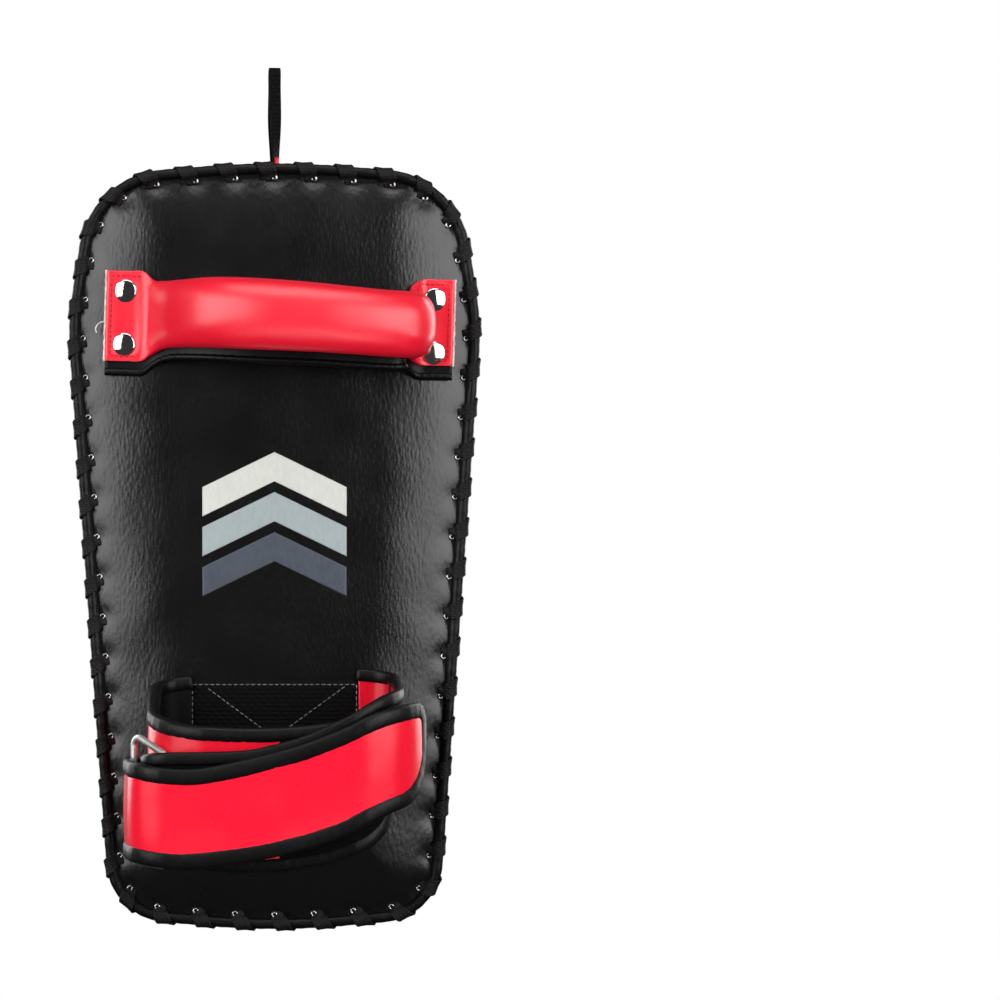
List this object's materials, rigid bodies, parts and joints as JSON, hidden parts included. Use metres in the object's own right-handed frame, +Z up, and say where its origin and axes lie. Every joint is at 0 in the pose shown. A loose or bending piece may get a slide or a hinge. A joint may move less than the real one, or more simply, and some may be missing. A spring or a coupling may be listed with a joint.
{
  "type": "thai pad",
  "caption": "Thick rectangular kick pad with rounded corners: foam block in a laced leather cover, padded riveted handle and ring-closed forearm strap on the back, hang loop on top.",
  "frame": {"origin": "inside of the hang loop's top, where a hook carries the pad", "axes": "+Z up as the pad hangs, +Y out of the strike face, -Y out of the back with the handle and the forearm strap, +X to the right seen from the back"},
  "size_m": [0.2113, 0.1878, 0.4512],
  "materials": {
    "black_leather": "satin",
    "red_leather": "gloss",
    "black_lining": "matte",
    "black_webbing": "matte",
    "binding": "satin",
    "foam": "matte",
    "board": "matte",
    "chrome": "polished",
    "steel": "satin",
    "print_red": "satin",
    "print_cream": "satin",
    "print_grey": "satin",
    "print_slate": "satin"
  },
  "bodies": {
    "pad": {"strike_cover": "black_leather", "strike_wadding": "foam", "strike_foam": "foam", "core_foam": "foam", "base_foam": "foam", "front_welt": "black_leather", "side_gusset": "red_leather", "back_panel": "black_leather", "back_board": "board", "edge_bead": "binding", "edge_lace": "binding", "lacing_eyelets": "steel", "loop_anchor": "red_leather", "handle_cover": "red_leather", "handle_core": "foam", "handle_lining": "black_leather", "handle_rivets": "chrome", "rivet_washers": "steel", "strap_base_patch": "black_webbing", "wing_lining": "black_lining", "wing_foam": "foam", "wing_face": "red_leather", "wing_binding": "binding", "ring_keeper": "black_webbing", "strap_face": "red_leather", "strap_pile": "black_webbing", "strap_binding": "binding", "print_red": "print_red", "print_cream": "print_cream", "print_grey": "print_grey", "print_slate": "print_slate"},
    "strap_tail": {"tail_face": "red_leather", "tail_hook": "black_webbing", "tail_binding": "binding"},
    "strap_ring": {"strap_ring": "chrome"},
    "hang_loop": {"hang_loop": "black_webbing"}
  },
  "joints": [
    {"name": "strap_tail_peel", "type": "hinge", "parent": "pad", "child": "strap_tail", "pos_m": [-0.07604, -0.10068, -0.383], "axis": [0, 0, -1], "range_deg": [0, 150]},
    {"name": "ring_swivel", "type": "hinge", "parent": "pad", "child": "strap_ring", "pos_m": [-0.0527, -0.1188, -0.3788], "axis": [0, 0, 1], "range_deg": [-2.5, 2.5]},
    {"name": "hang_loop_flop", "type": "hinge", "parent": "pad", "child": "hang_loop", "pos_m": [0, 0, -0.0533], "axis": [1, 0, 0], "range_deg": [-85, 85]}
  ]
}
